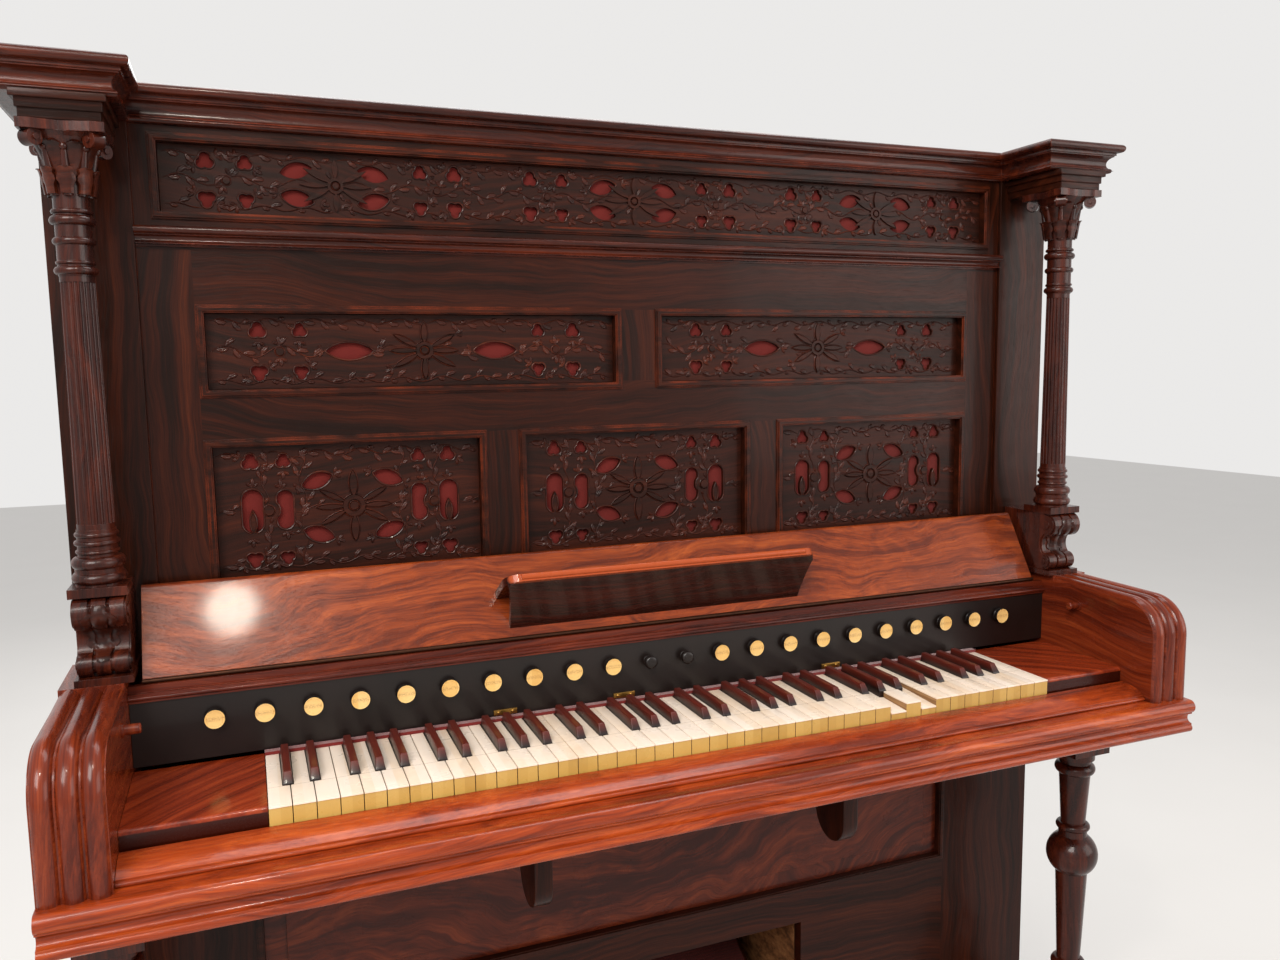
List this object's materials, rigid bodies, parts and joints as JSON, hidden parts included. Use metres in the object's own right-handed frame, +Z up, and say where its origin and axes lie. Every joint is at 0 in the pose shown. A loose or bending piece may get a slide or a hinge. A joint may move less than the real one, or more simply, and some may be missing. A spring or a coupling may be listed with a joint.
{
  "type": "upright reed organ with a piano-style case",
  "caption": "Upright player reed organ in a piano-style walnut case, with draw stops, a hinged fall with a music ledge, fretwork grilles and fluted columns.",
  "frame": {"origin": "on the floor, in the middle of the bounding box of the instrument", "axes": "+X to the player's right, +Y from the player into the case, +Z up"},
  "size_m": [1.482, 0.711, 1.489],
  "materials": {
    "walnut": "dark french-polished walnut, glossy, with worn edges",
    "figured_walnut": "reddish-brown figured walnut veneer, glossy",
    "plain_wood": "plain unpolished softwood and hardwood, matt",
    "ebony": "black ebonised wood, satin",
    "ivory": "aged ivory-coloured key covering and stop faces, smooth",
    "brass": "dull old brass",
    "red_cloth": "red woven grille cloth",
    "red_felt": "red felt",
    "carpet": "worn red carpet on wooden treadles"
  },
  "bodies": {
    "case": {"left_side": "walnut", "right_side": "walnut", "back_panel": "plain_wood", "bottom_board": "plain_wood", "corner_posts": "walnut", "grille_frame": "walnut", "upper_frets": "walnut", "lower_frets": "walnut", "grille_cloth": "red_cloth", "mid_rail": "walnut", "frieze_frame": "walnut", "frieze_fret": "walnut", "impost_blocks": "walnut", "cornice": "walnut", "left_column": "walnut", "right_column": "walnut", "scroll_brackets": "walnut", "left_cheek": "walnut", "right_cheek": "walnut", "keybed": "figured_walnut", "key_slip": "figured_walnut", "key_blocks": "figured_walnut", "key_frame": "plain_wood", "white_keys": "ivory", "black_keys": "ebony", "key_felt": "red_felt", "stop_board": "ebony", "black_knobs": "ebony", "fall_rail": "walnut", "hinge_rod": "brass", "fall_rests": "walnut", "front_legs": "walnut", "toe_blocks": "walnut", "lower_frame": "walnut", "lower_panel": "walnut", "pedal_recess": "plain_wood", "treadles": "carpet", "knee_levers": "walnut"},
    "fall": {"fall_leaf": "figured_walnut", "music_ledge": "walnut"},
    "draw_stop_01": {"stop_01": "ivory"},
    "draw_stop_02": {"stop_02": "ivory"},
    "draw_stop_03": {"stop_03": "ivory"},
    "draw_stop_04": {"stop_04": "ivory"},
    "draw_stop_05": {"stop_05": "ivory"},
    "draw_stop_06": {"stop_06": "ivory"},
    "draw_stop_07": {"stop_07": "ivory"},
    "draw_stop_08": {"stop_08": "ivory"},
    "draw_stop_09": {"stop_09": "ivory"},
    "draw_stop_10": {"stop_10": "ivory"},
    "draw_stop_11": {"stop_11": "ivory"},
    "draw_stop_12": {"stop_12": "ivory"},
    "draw_stop_13": {"stop_13": "ivory"},
    "draw_stop_14": {"stop_14": "ivory"},
    "draw_stop_15": {"stop_15": "ivory"},
    "draw_stop_16": {"stop_16": "ivory"},
    "draw_stop_17": {"stop_17": "ivory"},
    "draw_stop_18": {"stop_18": "ivory"},
    "draw_stop_19": {"stop_19": "ivory"},
    "draw_stop_20": {"stop_20": "ivory"}
  },
  "joints": [
    {"name": "fall_hinge", "type": "hinge", "parent": "case", "child": "fall", "pos_m": [0, -0.121, 0.829], "axis": [1, 0, 0], "range_deg": [0, 134.5]},
    {"name": "stop_01_slide", "type": "slide", "parent": "case", "child": "draw_stop_01", "axis": [0, 1, 0], "range_m": [-0.02, 0]},
    {"name": "stop_02_slide", "type": "slide", "parent": "case", "child": "draw_stop_02", "axis": [0, 1, 0], "range_m": [-0.02, 0]},
    {"name": "stop_03_slide", "type": "slide", "parent": "case", "child": "draw_stop_03", "axis": [0, 1, 0], "range_m": [-0.02, 0]},
    {"name": "stop_04_slide", "type": "slide", "parent": "case", "child": "draw_stop_04", "axis": [0, 1, 0], "range_m": [-0.02, 0]},
    {"name": "stop_05_slide", "type": "slide", "parent": "case", "child": "draw_stop_05", "axis": [0, 1, 0], "range_m": [-0.02, 0]},
    {"name": "stop_06_slide", "type": "slide", "parent": "case", "child": "draw_stop_06", "axis": [0, 1, 0], "range_m": [-0.02, 0]},
    {"name": "stop_07_slide", "type": "slide", "parent": "case", "child": "draw_stop_07", "axis": [0, 1, 0], "range_m": [-0.02, 0]},
    {"name": "stop_08_slide", "type": "slide", "parent": "case", "child": "draw_stop_08", "axis": [0, 1, 0], "range_m": [-0.02, 0]},
    {"name": "stop_09_slide", "type": "slide", "parent": "case", "child": "draw_stop_09", "axis": [0, 1, 0], "range_m": [-0.02, 0]},
    {"name": "stop_10_slide", "type": "slide", "parent": "case", "child": "draw_stop_10", "axis": [0, 1, 0], "range_m": [-0.02, 0]},
    {"name": "stop_11_slide", "type": "slide", "parent": "case", "child": "draw_stop_11", "axis": [0, 1, 0], "range_m": [-0.02, 0]},
    {"name": "stop_12_slide", "type": "slide", "parent": "case", "child": "draw_stop_12", "axis": [0, 1, 0], "range_m": [-0.02, 0]},
    {"name": "stop_13_slide", "type": "slide", "parent": "case", "child": "draw_stop_13", "axis": [0, 1, 0], "range_m": [-0.02, 0]},
    {"name": "stop_14_slide", "type": "slide", "parent": "case", "child": "draw_stop_14", "axis": [0, 1, 0], "range_m": [-0.02, 0]},
    {"name": "stop_15_slide", "type": "slide", "parent": "case", "child": "draw_stop_15", "axis": [0, 1, 0], "range_m": [-0.02, 0]},
    {"name": "stop_16_slide", "type": "slide", "parent": "case", "child": "draw_stop_16", "axis": [0, 1, 0], "range_m": [-0.02, 0]},
    {"name": "stop_17_slide", "type": "slide", "parent": "case", "child": "draw_stop_17", "axis": [0, 1, 0], "range_m": [-0.02, 0]},
    {"name": "stop_18_slide", "type": "slide", "parent": "case", "child": "draw_stop_18", "axis": [0, 1, 0], "range_m": [-0.02, 0]},
    {"name": "stop_19_slide", "type": "slide", "parent": "case", "child": "draw_stop_19", "axis": [0, 1, 0], "range_m": [-0.02, 0]},
    {"name": "stop_20_slide", "type": "slide", "parent": "case", "child": "draw_stop_20", "axis": [0, 1, 0], "range_m": [-0.02, 0]}
  ]
}
